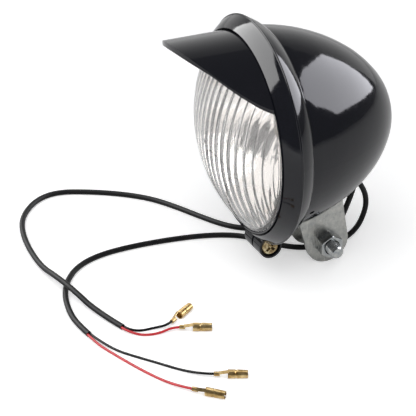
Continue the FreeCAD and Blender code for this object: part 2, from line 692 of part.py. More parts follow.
# Bullet terminal along Z: a crimp round the wire, a narrow neck and a rolled sleeve with a slit
def terminal():
    crimp_r = wire_r + crimp_wall
    sleeve_start = crimp_length + terminal_neck
    end = sleeve_start + sleeve_length
    groove = sleeve_start + sleeve_length * 0.42
    sleeve = [(sleeve_bore, sleeve_start), (sleeve_r, sleeve_start), (sleeve_r, groove - 0.8),
              (sleeve_r - sleeve_bead, groove), (sleeve_r, groove + 0.8),
              (sleeve_r - sleeve_bead, end), (sleeve_bore, end)]
    rolled = turned(sleeve, Vector(0, 0, 0), Vector(0, 0, 1))
    slit = Part.makeBox(sleeve_slit, 2 * sleeve_r, 2 * sleeve_length, Vector(-sleeve_slit / 2, 0, 0))
    crimp = turned([(wire_r, 0), (crimp_r, 0), (crimp_r, crimp_length), (wire_r, crimp_length)],
                   Vector(0, 0, 0), Vector(0, 0, 1))
    overlap = sleeve_r - sleeve_bore
    crimp_floor = -wire_r - crimp_wall * 0.4
    sleeve_floor = -sleeve_bore - overlap * 0.4
    profile = [(-crimp_r, crimp_length - overlap), (crimp_floor, crimp_length - overlap),
               (crimp_floor, crimp_length), (sleeve_floor, sleeve_start),
               (sleeve_floor, sleeve_start + overlap), (-sleeve_r, sleeve_start + overlap),
               (-sleeve_r, sleeve_start), (-crimp_r, crimp_length)]
    neck = polygon_face([Vector(0, y, z) for y, z in profile])
    neck = neck.extrude(Vector(terminal_neck_width, 0, 0))
    neck.translate(Vector(-terminal_neck_width / 2, 0, 0))
    return rolled.cut(slit).fuse([crimp.cut(slit), neck]).removeSplitter()


nodes = {"housing": housing, "trim_ring": trim_ring, "visor": visor, "lens": lens, "lens_gasket": lens_gasket,
         "reflector": reflector, "bulb_glass": bulb_glass, "bulb_base": bulb_base, "bulb_holder": bulb_holder,
         "pilot_glass": pilot_glass, "pilot_holder": pilot_holder, "clamp_screw": clamp_screw,
         "clamp_nut": clamp_nut, "bracket": bracket, "bracket_screws": Part.Compound(screw_solids),
         "bracket_nuts": Part.Compound(nut_solids), "mount_bolt": mount_bolt, "mount_nut": mount_nut,
         "cable_grommet": cable_grommet}
for shape in nodes.values():
    shape.translate(to_row)
for name, route, x in (("a", route_a, cable_pitch / 2), ("b", route_b, -cable_pitch / 2)):
    points = [grommet_at(-cable_hidden, x).add(to_row), grommet_at(cable_lead, x).add(to_row)]
    points = points + [Vector(*p) for p in route]
    nodes[f"cable_{name}"] = cord(f"cable_{name}", points, cable_r)
    heading = points[-1].sub(points[-2]).normalize()
    across = Vector(0, 0, 1).cross(heading).normalize()
    for colour, offset in (("black", wire_pitch / 2), ("red", -wire_pitch / 2)):
        wire = f"wire_{name}_{colour}"
        cut_end = points[-1].add(Vector(across).multiply(offset))
        run = [cut_end, cut_end.add(Vector(heading).multiply(wire_lead))]
        run = run + [Vector(*p) for p in wire_routes[wire]]
        nodes[wire] = cord(wire, run, wire_r)
        along = run[-1].sub(run[-2]).normalize()
        brass = placed(terminal(), run[-1].sub(Vector(along).multiply(crimp_grip)), along)
        nodes[f"terminal_{name}_{colour}"] = brass

os.makedirs("parts", exist_ok=True)
for name, shape in nodes.items():
    solids = shape.Solids
    print(f"{name}: {len(solids)} solid, {shape.Volume:.1f} mm3, valid {shape.isValid()}")
    part = solids[0] if len(solids) == 1 else Part.Compound(solids)
    part.exportStep(f"parts/{name}.step")
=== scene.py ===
# %% [markdown]
# # A round driving light for a motorcycle
# A black steel shell holds a fluted lens, a clamp ring and a peaked visor. A bent zinc bracket
# stands under it, and two sheathed cables lie on the floor in front. The solids come from a CAD
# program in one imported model, so the first step is to load that model. It is never moved:
# everything else is built round it, in metres and in the same frame.

# %% Load the fixed frame
import math
import bpy
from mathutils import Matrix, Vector


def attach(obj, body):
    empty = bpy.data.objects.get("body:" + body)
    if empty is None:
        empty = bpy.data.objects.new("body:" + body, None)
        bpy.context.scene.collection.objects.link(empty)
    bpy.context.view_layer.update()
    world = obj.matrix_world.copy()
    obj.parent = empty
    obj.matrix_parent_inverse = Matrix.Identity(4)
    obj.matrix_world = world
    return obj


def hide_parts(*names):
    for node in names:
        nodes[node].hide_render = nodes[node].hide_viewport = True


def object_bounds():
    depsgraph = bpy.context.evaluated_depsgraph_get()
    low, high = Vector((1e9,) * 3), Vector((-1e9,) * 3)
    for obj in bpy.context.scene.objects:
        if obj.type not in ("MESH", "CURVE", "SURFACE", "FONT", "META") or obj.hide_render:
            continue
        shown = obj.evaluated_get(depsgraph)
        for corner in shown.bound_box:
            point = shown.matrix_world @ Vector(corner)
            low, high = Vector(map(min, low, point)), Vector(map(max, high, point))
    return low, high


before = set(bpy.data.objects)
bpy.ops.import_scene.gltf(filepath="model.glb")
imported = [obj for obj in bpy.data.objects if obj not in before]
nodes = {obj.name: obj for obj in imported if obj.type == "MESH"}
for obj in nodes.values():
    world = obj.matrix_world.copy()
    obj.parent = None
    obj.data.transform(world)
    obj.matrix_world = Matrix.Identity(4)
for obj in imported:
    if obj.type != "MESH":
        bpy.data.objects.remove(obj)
cad_low, cad_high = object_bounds()
MM = 0.001
print("CAD nodes:", len(nodes), "box:", tuple(cad_low), tuple(cad_high))

# %% [markdown]
# ## The camera
# The photograph was taken from the front right and from above, with a long lens. A camera could
# be placed by eye, but a small error in it bends every later comparison. So the place, the
# direction and the focal length were worked out from the outlines of ring, dome and visor.

# %% Camera
VIEW_AZIMUTH = 67.449
VIEW_ELEVATION = 31.246
EYE = Vector((721.9, -370.1, 507.0)) * MM
SENSOR_WIDTH = 36
FOCAL_LENGTH = 140.44
bpy.ops.object.select_all(action="DESELECT")
bpy.ops.object.camera_add(location=EYE, rotation=(
    math.radians(90 - VIEW_ELEVATION), 0, math.radians(VIEW_AZIMUTH)))
camera = bpy.context.object
camera.data.sensor_width = SENSOR_WIDTH
camera.data.lens = FOCAL_LENGTH
camera.data.clip_start = 50 * MM
bpy.context.scene.camera = camera
print("camera at", tuple(camera.location), "with a lens of", FOCAL_LENGTH, "mm")

# %% [markdown]
# ## Helpers for materials
# Colours are picked as hex values, as in any paint program, but a shader counts in linear light.
# One function turns the one into the other, so that a hex value in this file is the colour that
# the eye sees. A second one gives a pattern its real size: a texture's scale is the number of
# repeats in a metre, which is hard to picture, while a width in millimetres can be measured.

# %% Colours and sizes
def linear(code):
    """Linear RGBA for an sRGB hex colour."""
    parts = [int(code[i:i + 2], 16) / 255 for i in (1, 3, 5)]
    return tuple(c / 12.92 if c <= 0.04045 else ((c + 0.055) / 1.055) ** 2.4
                 for c in parts) + (1.0,)


def per_mm(size):
    """The texture scale that repeats every so many millimetres."""
    return 1 / (size * MM)


print("mid grey in linear light:", round(linear("#808080")[0], 3))
print("scale of a 4 mm pattern:", per_mm(4))

# %% [markdown]
# A material is a small graph of nodes. Written out by hand, each node takes a line to add it and
# one more for every field and link. This helper does all of that in one call, for any node.

# %% Adding a node
def add_node(tree, kind, inputs=None, stops=(), **settings):
    """A node with its settings, whose inputs are values or the sockets to link.

    A colour ramp also takes its stops, in rising order: pairs of a position and a hex colour.
    """
    made = tree.nodes.new(kind)
    for name, value in settings.items():
        setattr(made, name, value)
    for name, value in (inputs or {}).items():
        if isinstance(value, bpy.types.NodeSocket):
            tree.links.new(value, made.inputs[name])
        else:
            made.inputs[name].default_value = value
    for index, (position, code) in enumerate(stops):
        ramp = made.color_ramp.elements
        stop = ramp[index] if index < len(ramp) else ramp.new(position)
        stop.position = position
        stop.color = linear(code)
    return made


def new_finish(name):
    """An empty node material, its tree and its Object coordinates."""
    finish = bpy.data.materials.new(name)
    finish.use_nodes = True
    tree = finish.node_tree
    tree.nodes.clear()
    place = add_node(tree, "ShaderNodeTexCoord").outputs["Object"]
    return finish, tree, place


def paint(finish, *names):
    """Give CAD nodes a finish in place of their plain one."""
    for name in names:
        nodes[name].data.materials.clear()
        nodes[name].data.materials.append(finish)
    print(finish.name, "on", ", ".join(names))


print("plain materials that came with the frame:", len(bpy.data.materials))

# %% [markdown]
# ## Black stove enamel
# The housing, the ring and the visor are steel, sprayed black and baked. A plain black gloss
# would look like plastic. Sprayed paint is never quite flat, so its clear reflections of the
# studio swim a little. A broad, very weak bump gives that, and fine dust varies the gloss.

# %% Black enamel
PEEL_WIDTH = 7.0
DUST_WIDTH = 2.5
black_enamel, tree, place = new_finish("black_stove_enamel")
swim = add_node(tree, "ShaderNodeTexNoise", {
    "Vector": place, "Scale": per_mm(PEEL_WIDTH), "Detail": 1.0})
dust = add_node(tree, "ShaderNodeTexNoise", {
    "Vector": place, "Scale": per_mm(DUST_WIDTH), "Detail": 4.0, "Roughness": 0.6})
haze = add_node(tree, "ShaderNodeMapRange", {
    "Value": dust.outputs["Fac"], "From Min": 0.35, "From Max": 0.75,
    "To Min": 0.06, "To Max": 0.12})
peel = add_node(tree, "ShaderNodeBump", {
    "Height": swim.outputs["Fac"], "Strength": 0.04, "Distance": 0.2 * MM})
shader = add_node(tree, "ShaderNodeBsdfPrincipled", {
    "Base Color": linear("#101117"), "Roughness": haze.outputs["Result"], "IOR": 1.42,
    "Normal": peel.outputs["Normal"]})
add_node(tree, "ShaderNodeOutputMaterial", {"Surface": shader.outputs[0]})
paint(black_enamel, "housing", "trim_ring", "visor")

# %% [markdown]
# ## Zinc plate on sheet
# The bracket is rolled steel sheet, zinc plated and passivated. The plate is a soft satin grey
# that goes cloudy over a few millimetres, with fine marks from the mill. Both could be painted
# as an image, but noise does it without one: even noise for the clouds, and for the marks a
# finer noise that a Mapping node draws out along the sheet.

# %% Satin zinc
CLOUD_WIDTH = 4.0
MILL_WIDTH = 0.6
MILL_STRETCH = (1.0, 1.0, 0.06)
sheet_zinc, tree, place = new_finish("satin_zinc_plate")
cloud = add_node(tree, "ShaderNodeTexNoise", {
    "Vector": place, "Scale": per_mm(CLOUD_WIDTH), "Detail": 5.0, "Roughness": 0.65})
tint = add_node(tree, "ShaderNodeValToRGB", {"Fac": cloud.outputs["Fac"]},
                stops=[(0.35, "#9b9d9b"), (0.66, "#bab9b4")])
stretch = add_node(tree, "ShaderNodeMapping", {"Vector": place, "Scale": MILL_STRETCH})
mill = add_node(tree, "ShaderNodeTexNoise", {
    "Vector": stretch.outputs["Vector"], "Scale": per_mm(MILL_WIDTH), "Detail": 3.0})
polish = add_node(tree, "ShaderNodeMapRange", {
    "Value": mill.outputs["Fac"], "From Min": 0.3, "From Max": 0.7,
    "To Min": 0.24, "To Max": 0.4})
grain = add_node(tree, "ShaderNodeBump", {
    "Height": mill.outputs["Fac"], "Strength": 0.15, "Distance": 0.05 * MM})
shader = add_node(tree, "ShaderNodeBsdfPrincipled", {
    "Base Color": tint.outputs["Color"], "Metallic": 1.0, "Roughness": polish.outputs["Result"],
    "Normal": grain.outputs["Normal"]})
add_node(tree, "ShaderNodeOutputMaterial", {"Surface": shader.outputs[0]})
paint(sheet_zinc, "bracket")

# %% [markdown]
# ## Zinc plate on fasteners
# The bolts and nuts have the same plate, but they were tumbled bright in a drum. They mirror the
# studio more sharply, with dark and light facets side by side and small dings from the drum.

# %% Tumbled zinc
STAIN_WIDTH = 2.5
DING_WIDTH = 0.9
bright_zinc, tree, place = new_finish("tumbled_zinc_plate")
cloud = add_node(tree, "ShaderNodeTexNoise", {
    "Vector": place, "Scale": per_mm(STAIN_WIDTH), "Detail": 3.0})
tint = add_node(tree, "ShaderNodeValToRGB", {"Fac": cloud.outputs["Fac"]},
                stops=[(0.35, "#979c9f"), (0.66, "#c0c1be")])
dings = add_node(tree, "ShaderNodeTexNoise", {
    "Vector": place, "Scale": per_mm(DING_WIDTH), "Detail": 2.0})
wear = add_node(tree, "ShaderNodeBump", {
    "Height": dings.outputs["Fac"], "Strength": 0.1, "Distance": 0.06 * MM})
shader = add_node(tree, "ShaderNodeBsdfPrincipled", {
    "Base Color": tint.outputs["Color"], "Metallic": 1.0, "Roughness": 0.13,
    "Normal": wear.outputs["Normal"]})
add_node(tree, "ShaderNodeOutputMaterial", {"Surface": shader.outputs[0]})
paint(bright_zinc, "bracket_screws", "bracket_nuts")

# %% [markdown]
# ## Yellow passivated zinc
# The clamp screw has the yellow chromate of a hardware screw. Its film is so thin that it drifts
# from dark straw to pale yellow with its thickness. One gold colour would look like brass, so a
# ramp of three colours on slow noise makes the drift.

# %% Yellow zinc
FILM_WIDTH = 2.6
PIT_WIDTH = 0.5
yellow_zinc, tree, place = new_finish("yellow_chromate_zinc")
drift = add_node(tree, "ShaderNodeTexNoise", {
    "Vector": place, "Scale": per_mm(FILM_WIDTH), "Detail": 3.0})
film = add_node(tree, "ShaderNodeValToRGB", {"Fac": drift.outputs["Fac"]},
                stops=[(0.38, "#6b5c3e"), (0.5, "#9a8664"), (0.64, "#d3c9a6")])
pits = add_node(tree, "ShaderNodeTexNoise", {
    "Vector": place, "Scale": per_mm(PIT_WIDTH), "Detail": 2.0})
wear = add_node(tree, "ShaderNodeBump", {
    "Height": pits.outputs["Fac"], "Strength": 0.12, "Distance": 0.05 * MM})
shader = add_node(tree, "ShaderNodeBsdfPrincipled", {
    "Base Color": film.outputs["Color"], "Metallic": 1.0, "Roughness": 0.2,
    "Normal": wear.outputs["Normal"]})
add_node(tree, "ShaderNodeOutputMaterial", {"Surface": shader.outputs[0]})
paint(yellow_zinc, "clamp_screw", "clamp_nut")

# %% [markdown]
# ## Pressed lens glass
# The lens is clear pressed glass, smooth outside and fluted inside. The flutes could be drawn as
# a bump, but the solid has them, and real ones bend what lies behind them. Pressing leaves the
# glass slightly hazy and rippled: a little roughness, not quite full transmission, a weak bump.

# %% Lens glass
RIPPLE_WIDTH = 12.0
lens_glass, tree, place = new_finish("pressed_lens_glass")
ripple = add_node(tree, "ShaderNodeTexNoise", {
    "Vector": place, "Scale": per_mm(RIPPLE_WIDTH), "Detail": 1.0})
flow = add_node(tree, "ShaderNodeBump", {
    "Height": ripple.outputs["Fac"], "Strength": 0.03, "Distance": 0.3 * MM})
shader = add_node(tree, "ShaderNodeBsdfPrincipled", {
    "Base Color": linear("#fcfbfa"), "Roughness": 0.07, "IOR": 1.5, "Transmission Weight": 0.95,
    "Normal": flow.outputs["Normal"]})
add_node(tree, "ShaderNodeOutputMaterial", {"Surface": shader.outputs[0]})
paint(lens_glass, "lens")

# %% [markdown]
# The two bulbs are blown from thin tube. Blown glass is clearer than pressed glass, but its wall
# wavers, so it has no haze and a bump that is narrower and a little stronger.

# %% Bulb glass
WAVER_WIDTH = 5.0
bulb_clear, tree, place = new_finish("blown_bulb_glass")
waver = add_node(tree, "ShaderNodeTexNoise", {
    "Vector": place, "Scale": per_mm(WAVER_WIDTH), "Detail": 1.0})
flow = add_node(tree, "ShaderNodeBump", {
    "Height": waver.outputs["Fac"], "Strength": 0.05, "Distance": 0.1 * MM})
shader = add_node(tree, "ShaderNodeBsdfPrincipled", {
    "Base Color": linear("#fbfbfb"), "Roughness": 0.01, "IOR": 1.47, "Transmission Weight": 1.0,
    "Normal": flow.outputs["Normal"]})
add_node(tree, "ShaderNodeOutputMaterial", {"Surface": shader.outputs[0]})
paint(bulb_clear, "bulb_glass", "pilot_glass")

# %% [markdown]
# ## Aluminised reflector
# The bowl behind the lens is lacquered and coated with aluminium in a vacuum. It could be a
# perfect mirror, but the lacquer below the metal leaves a slight haze that comes and goes, and
# that keeps the light behind the flutes soft.

# %% Reflector
VEIL_WIDTH = 6.0
bright_bowl, tree, place = new_finish("vacuum_aluminium_mirror")
veil = add_node(tree, "ShaderNodeTexNoise", {
    "Vector": place, "Scale": per_mm(VEIL_WIDTH), "Detail": 2.0})
haze = add_node(tree, "ShaderNodeMapRange", {
    "Value": veil.outputs["Fac"], "From Min": 0.3, "From Max": 0.7,
    "To Min": 0.05, "To Max": 0.11})
shader = add_node(tree, "ShaderNodeBsdfPrincipled", {
    "Base Color": linear("#f2f0ef"), "Metallic": 1.0, "Roughness": haze.outputs["Result"]})
add_node(tree, "ShaderNodeOutputMaterial", {"Surface": shader.outputs[0]})
paint(bright_bowl, "reflector")

# %% [markdown]
# ## Moulded rubber
# The lens gasket and the cable grommet are moulded black rubber. It is matt, and with age a grey
# bloom comes to its surface. The same fine noise tints it and roughens its skin.

# %% Rubber
BLOOM_WIDTH = 1.2
rubber, tree, place = new_finish("moulded_rubber")
bloom = add_node(tree, "ShaderNodeTexNoise", {
    "Vector": place, "Scale": per_mm(BLOOM_WIDTH), "Detail": 4.0})
chalk = add_node(tree, "ShaderNodeValToRGB", {"Fac": bloom.outputs["Fac"]},
                 stops=[(0.0, "#111112"), (1.0, "#232324")])
skin = add_node(tree, "ShaderNodeBump", {
    "Height": bloom.outputs["Fac"], "Strength": 0.2, "Distance": 0.05 * MM})
shader = add_node(tree, "ShaderNodeBsdfPrincipled", {
    "Base Color": chalk.outputs["Color"], "Roughness": 0.7, "Normal": skin.outputs["Normal"]})
add_node(tree, "ShaderNodeOutputMaterial", {"Surface": shader.outputs[0]})
paint(rubber, "lens_gasket", "cable_grommet")

# %% [markdown]
# ## Phenolic moulding and nickelled brass
# The bulb holders are pressed from phenolic resin with a filler, which shows as brown specks in
# the black. The bulb's cap is brass under a thin coat of nickel, with a warm stain here and
# there. Both lie deep behind the lens, so a tint from noise is all the detail that they need.

# %% Phenolic moulding
SPECK_WIDTH = 0.8
phenolic, tree, place = new_finish("phenolic_moulding")
speck = add_node(tree, "ShaderNodeTexNoise", {
    "Vector": place, "Scale": per_mm(SPECK_WIDTH), "Detail": 3.0})
shade = add_node(tree, "ShaderNodeValToRGB", {"Fac": speck.outputs["Fac"]},
                 stops=[(0.0, "#141313"), (1.0, "#2a2827")])
shader = add_node(tree, "ShaderNodeBsdfPrincipled", {
    "Base Color": shade.outputs["Color"], "Roughness": 0.5})
add_node(tree, "ShaderNodeOutputMaterial", {"Surface": shader.outputs[0]})
paint(phenolic, "bulb_holder", "pilot_holder")

# %% Nickelled brass
CAP_STAIN_WIDTH = 4.0
nickel, tree, place = new_finish("nickelled_brass")
stain = add_node(tree, "ShaderNodeTexNoise", {
    "Vector": place, "Scale": per_mm(CAP_STAIN_WIDTH), "Detail": 3.0})
tone = add_node(tree, "ShaderNodeValToRGB", {"Fac": stain.outputs["Fac"]},
                stops=[(0.0, "#b9b2a4"), (1.0, "#d3d0c8")])
shader = add_node(tree, "ShaderNodeBsdfPrincipled", {
    "Base Color": tone.outputs["Color"], "Metallic": 1.0, "Roughness": 0.25})
add_node(tree, "ShaderNodeOutputMaterial", {"Surface": shader.outputs[0]})
paint(nickel, "bulb_base")

# %% [markdown]
# ## Stamped brass
# The bullet sockets are rolled from brass strip. Fresh brass is a warm mirror, but handling and
# the rolling tools dull it. A ramp from brown to pale gold gives the patina, and a bump gives the
# marks of the tools, drawn coarser than they are because finer ones would not show.

# %% Brass
BRASS_PIECES = ("terminal_a_red", "terminal_a_black", "terminal_b_red", "terminal_b_black")
PATINA_WIDTH = 2.5
MARK_WIDTH = 0.35
brass, tree, place = new_finish("stamped_brass")
patina = add_node(tree, "ShaderNodeTexNoise", {
    "Vector": place, "Scale": per_mm(PATINA_WIDTH), "Detail": 4.0})
gold = add_node(tree, "ShaderNodeValToRGB", {"Fac": patina.outputs["Fac"]},
                stops=[(0.3, "#a9854c"), (0.7, "#e3ca94")])
draw = add_node(tree, "ShaderNodeTexNoise", {
    "Vector": place, "Scale": per_mm(MARK_WIDTH), "Detail": 2.0})
marks = add_node(tree, "ShaderNodeBump", {
    "Height": draw.outputs["Fac"], "Strength": 0.15, "Distance": 0.04 * MM})
shader = add_node(tree, "ShaderNodeBsdfPrincipled", {
    "Base Color": gold.outputs["Color"], "Metallic": 1.0, "Roughness": 0.32,
    "Normal": marks.outputs["Normal"]})
add_node(tree, "ShaderNodeOutputMaterial", {"Surface": shader.outputs[0]})
paint(brass, *BRASS_PIECES)

# %% [markdown]
# ## Soft vinyl on the cables and wires
# The sheath is extruded vinyl with a satin skin, and the thin wires have a smoother coat in red
# and black. Extruding leaves a faint unevenness of a millimetre or two. The three differ only in
# colour and gloss, so one function makes them. The black ones have a low index of refraction:
# their skin is so fine-grained that it mirrors less of the white floor than smooth vinyl would.

# %% Vinyl
SKIN_WIDTH = 1.6


def vinyl(name, dark, light, roughness, ior):
    """Extruded vinyl between two shades, with its roughness and index of refraction."""
    finish, tree, place = new_finish(name)
    skin = add_node(tree, "ShaderNodeTexNoise", {
        "Vector": place, "Scale": per_mm(SKIN_WIDTH), "Detail": 3.0})
    shade = add_node(tree, "ShaderNodeValToRGB", {"Fac": skin.outputs["Fac"]},
                     stops=[(0.0, dark), (1.0, light)])
    uneven = add_node(tree, "ShaderNodeBump", {
        "Height": skin.outputs["Fac"], "Strength": 0.12, "Distance": 0.06 * MM})
    shader = add_node(tree, "ShaderNodeBsdfPrincipled", {
        "Base Color": shade.outputs["Color"], "Roughness": roughness, "IOR": ior,
        "Normal": uneven.outputs["Normal"]})
    add_node(tree, "ShaderNodeOutputMaterial", {"Surface": shader.outputs[0]})
    print("vinyl:", name)
    return finish


sheath_vinyl = vinyl("black_sheath_vinyl", "#050506", "#0e0e0f", roughness=0.5, ior=1.32)
black_vinyl = vinyl("black_wire_vinyl", "#060607", "#0e0e0f", roughness=0.42, ior=1.32)
red_vinyl = vinyl("red_wire_vinyl", "#b00f1c", "#d62631", roughness=0.42, ior=1.45)

# %% [markdown]
# ## The cables
# A cable is one smooth line, so each is a NURBS curve with a round section. It could be a mesh
# tube, but a curve keeps the route in a few points that are easy to move. They are the corners
# of the route that the CAD tube takes: out of the grommet, down behind the bracket, then over the
# floor in loose curves, with one cable passing over the other in a low hump.

# %% How a cord is laid
STEPS_PER_SPAN = 10
SECTION_STEPS = 6


def lay_cord(name, node_name, finish, radius, route, length):
    """A round cord along a route in millimetres, in place of its CAD tube."""
    curve = bpy.data.curves.new(name, "CURVE")
    curve.dimensions = "3D"
    spline = curve.splines.new("NURBS")
    spline.points.add(len(route) - 1)
    for point, place in zip(spline.points, route):
        point.co = (*(Vector(place) * MM), 1)
    spline.order_u = 3
    spline.use_endpoint_u = True
    curve.resolution_u = STEPS_PER_SPAN
    curve.bevel_depth = radius * MM
    curve.bevel_resolution = SECTION_STEPS
    curve.use_fill_caps = True
    curve.materials.append(finish)
    piece = bpy.data.objects.new(name, curve)
    bpy.context.scene.collection.objects.link(piece)
    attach(piece, "root")
    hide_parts(node_name)
    print(name, "laid on", len(route), "points,", length, "mm long")


print("sides of a cord's section:", 4 + 2 * SECTION_STEPS)

# %% The two sheathed cables
SHEATH_R = 1.65
lay_cord("sheath_a", "cable_a", sheath_vinyl, SHEATH_R, [
    (2.4, 11.11, 46.49), (2.4, 21.97, 32.39), (2.2, 18.6, 20.5), (-1.5, 16.9, 8.5),
    (-9.5, 19.0, -2.5), (-19.5, 13.5, -9.5), (-26.0, -0.5, -11.5), (-31.0, -16.5, -11.5),
    (-37.0, -31.5, -11.5), (-46.0, -41.5, -11.5), (-60.0, -50.5, -11.5),
    (-77.0, -60.5, -11.5), (-91.0, -70.5, -11.5), (-102.5, -84.0, -11.5),
    (-113.0, -101.5, -11.5), (-121.5, -121.5, -11.5), (-117.5, -137.0, -11.5),
    (-103.0, -150.0, -11.5), (-87.0, -155.8, -11.5), (-66.0, -158.0, -11.5),
    (-43.0, -157.2, -11.0), (-24.0, -154.2, -6.8), (-7.0, -149.4, -6.8),
    (11.0, -143.0, -11.0), (31.1, -134.0, -11.5)],
    length=417.0)
lay_cord("sheath_b", "cable_b", sheath_vinyl, SHEATH_R, [
    (-2.4, 11.11, 46.49), (-2.4, 21.97, 32.39), (-2.4, 29.0, 23.0), (-2.4, 32.0, 14.5),
    (-2.4, 31.6, 5.8), (-2.4, 27.0, -5.0), (-2.4, 17.4, -11.5), (-2.8, 5.0, -11.5),
    (-3.6, -8.0, -11.5), (-12.5, -20.5, -11.5), (-28.5, -33.5, -11.5), (-35.5, -46.0, -11.5),
    (-40.2, -61.5, -11.5), (-43.2, -83.0, -11.5), (-44.2, -105.5, -11.5),
    (-42.2, -124.0, -11.5), (-35.2, -138.5, -11.5), (-23.0, -148.5, -11.5),
    (-9.5, -154.0, -11.5), (6.2, -156.5, -11.5), (19.0, -156.0, -11.5), (30.4, -153.3, -11.5)],
    length=310.1)

# %% [markdown]
# ## The wires
# A red and a black wire leave each sheath side by side, part from each other and end in the
# crimps of the brass sockets. They are laid as the cables are, only thinner.

# %% Wires of the first cable
WIRE_R = 0.7
lay_cord("core_a_black", "wire_a_black", black_vinyl, WIRE_R, [
    (30.77, -133.27, -11.5), (34.42, -131.64, -11.59), (37.0, -126.0, -12.5),
    (37.4, -117.5, -12.3), (39.8, -111.0, -10.8), (36.2, -105.6, -10.8)],
    length=31.6)
lay_cord("core_a_red", "wire_a_red", red_vinyl, WIRE_R, [
    (31.43, -134.73, -11.5), (35.08, -133.1, -11.59), (41.4, -126.5, -12.5),
    (43.4, -117.0, -12.3), (42.6, -109.0, -10.8), (44.9, -103.3, -10.8)],
    length=36.8)

# %% Wires of the second cable
lay_cord("core_b_black", "wire_b_black", black_vinyl, WIRE_R, [
    (30.22, -152.52, -11.5), (34.11, -151.6, -11.5), (48.5, -144.5, -12.5),
    (57.5, -137.0, -12.5), (68.0, -127.5, -12.5), (79.0, -118.0, -12.5),
    (88.4, -109.1, -10.8), (91.3, -102.2, -10.8)],
    length=80.8)
lay_cord("core_b_red", "wire_b_red", red_vinyl, WIRE_R, [
    (30.58, -154.08, -11.5), (34.48, -153.16, -11.5), (42.0, -150.8, -12.3),
    (56.0, -144.5, -12.5), (71.0, -137.5, -12.5), (84.5, -129.8, -12.5),
    (95.2, -122.9, -10.8), (99.4, -117.9, -10.8)],
    length=78.6)

# %% [markdown]
# ## Helpers for bolt and nut
# The bolt lies along the x axis. Its pieces all start as a rod or a cone there, and are then cut
# and joined by Boolean modifiers, as a machinist turns, mills and drills. The rod is turned on
# its own axis first, so that a six-sided one stands with a corner up, as the real head does.

# %% A rod to start from
ROUND_CORNERS = 48


def select_only(piece):
    """Make one object the selected and active one."""
    bpy.ops.object.select_all(action="DESELECT")
    piece.select_set(True)
    bpy.context.view_layer.objects.active = piece


def rod_along_x(name, radius, start, end, corners=ROUND_CORNERS, end_radius=None):
    """A rod or cone along the bolt, in millimetres, with a corner on top."""
    bpy.ops.object.select_all(action="DESELECT")
    bpy.ops.mesh.primitive_cone_add(
        vertices=corners, radius1=radius * MM, radius2=(end_radius or radius) * MM,
        depth=(end - start) * MM, rotation=(0, 0, math.radians(90)))
    bpy.ops.object.transform_apply(location=True, rotation=True, scale=True)
    piece = bpy.context.object
    piece.name = name
    piece.location.x = (start + end) / 2 * MM
    piece.rotation_euler.y = math.radians(90)
    bpy.ops.object.transform_apply(location=True, rotation=True, scale=True)
    print(name, "from", start, "to", end, "mm")
    return piece


print("corners round a rod:", ROUND_CORNERS)

# %% [markdown]
# A Boolean modifier joins two shapes, keeps what they share or takes one from the other. Applied
# at once, it leaves a plain mesh, and the shape that served as the tool can go.

# %% Cutting and joining
def combine(piece, tool, operation):
    """Apply a Boolean modifier and delete its tool."""
    step = piece.modifiers.new("combine", "BOOLEAN")
    step.operation = operation
    step.object = tool
    select_only(piece)
    bpy.ops.object.modifier_apply(modifier="combine")
    print(piece.name, operation, tool.name)
    bpy.data.objects.remove(tool)

# %% [markdown]
# A Boolean leaves doubled points and slivers where faces almost meet, and a bevel would tear
# there. So each piece is welded before it is bevelled and once more at the end.

# %% Welding
WELD_REACH = 0.005


def weld(piece):
    """Merge doubles, drop slivers, close holes and point the faces outwards."""
    select_only(piece)
    bpy.ops.object.mode_set(mode="EDIT")
    bpy.ops.mesh.select_all(action="SELECT")
    bpy.ops.mesh.remove_doubles(threshold=WELD_REACH * MM)
    bpy.ops.mesh.dissolve_degenerate(threshold=WELD_REACH * MM)
    bpy.ops.mesh.fill_holes(sides=0)
    bpy.ops.mesh.normals_make_consistent(inside=False)
    bpy.ops.object.mode_set(mode="OBJECT")
    print(piece.name, "welded:", len(piece.data.polygons), "faces")


print("points within", WELD_REACH, "mm are merged")

# %% [markdown]
# No edge of a real fastener is razor sharp: a small bevel on each one catches a line of light.
# The Bevel modifier finds all the sharp edges by their angle. Where only one round edge is to be
# rounded, the edges are picked by their place along the rod and bevelled in edit mode.

# %% Rounding
EDGE_BREAK = 0.12
SHARP_ANGLE = math.radians(25)
ROUNDING_STEPS = 3
SAME_PLACE = 1e-6


def break_edges(piece):
    """Round every sharp edge a little, so that it catches the light."""
    weld(piece)
    step = piece.modifiers.new("edges", "BEVEL")
    step.width = EDGE_BREAK * MM
    step.segments = 2
    step.limit_method = "ANGLE"
    step.angle_limit = SHARP_ANGLE
    select_only(piece)
    bpy.ops.object.modifier_apply(modifier="edges")


def round_rim(piece, at, width):
    """Bevel the round edge of a rod at one place along it."""
    select_only(piece)
    bpy.ops.object.mode_set(mode="EDIT")
    bpy.ops.mesh.select_all(action="DESELECT")
    bpy.ops.object.mode_set(mode="OBJECT")
    for edge in piece.data.edges:
        ends = [piece.data.vertices[i].co.x for i in edge.vertices]
        edge.select = all(abs(x - at * MM) < SAME_PLACE for x in ends)
    bpy.ops.object.mode_set(mode="EDIT")
    bpy.ops.mesh.select_mode(type="EDGE")
    bpy.ops.mesh.bevel(offset=width * MM, segments=ROUNDING_STEPS, affect="EDGES")
    bpy.ops.object.mode_set(mode="OBJECT")


print("edges are broken by", EDGE_BREAK, "mm")

# %% [markdown]
# ## The bolt's head and shank
# The head is a hexagon whose corners are rounded off towards its free end. A bevel on the
# hexagon itself would cut straight facets there. Cutting it with a rod that has a rounded rim
# leaves the curved edges that a turned head has.

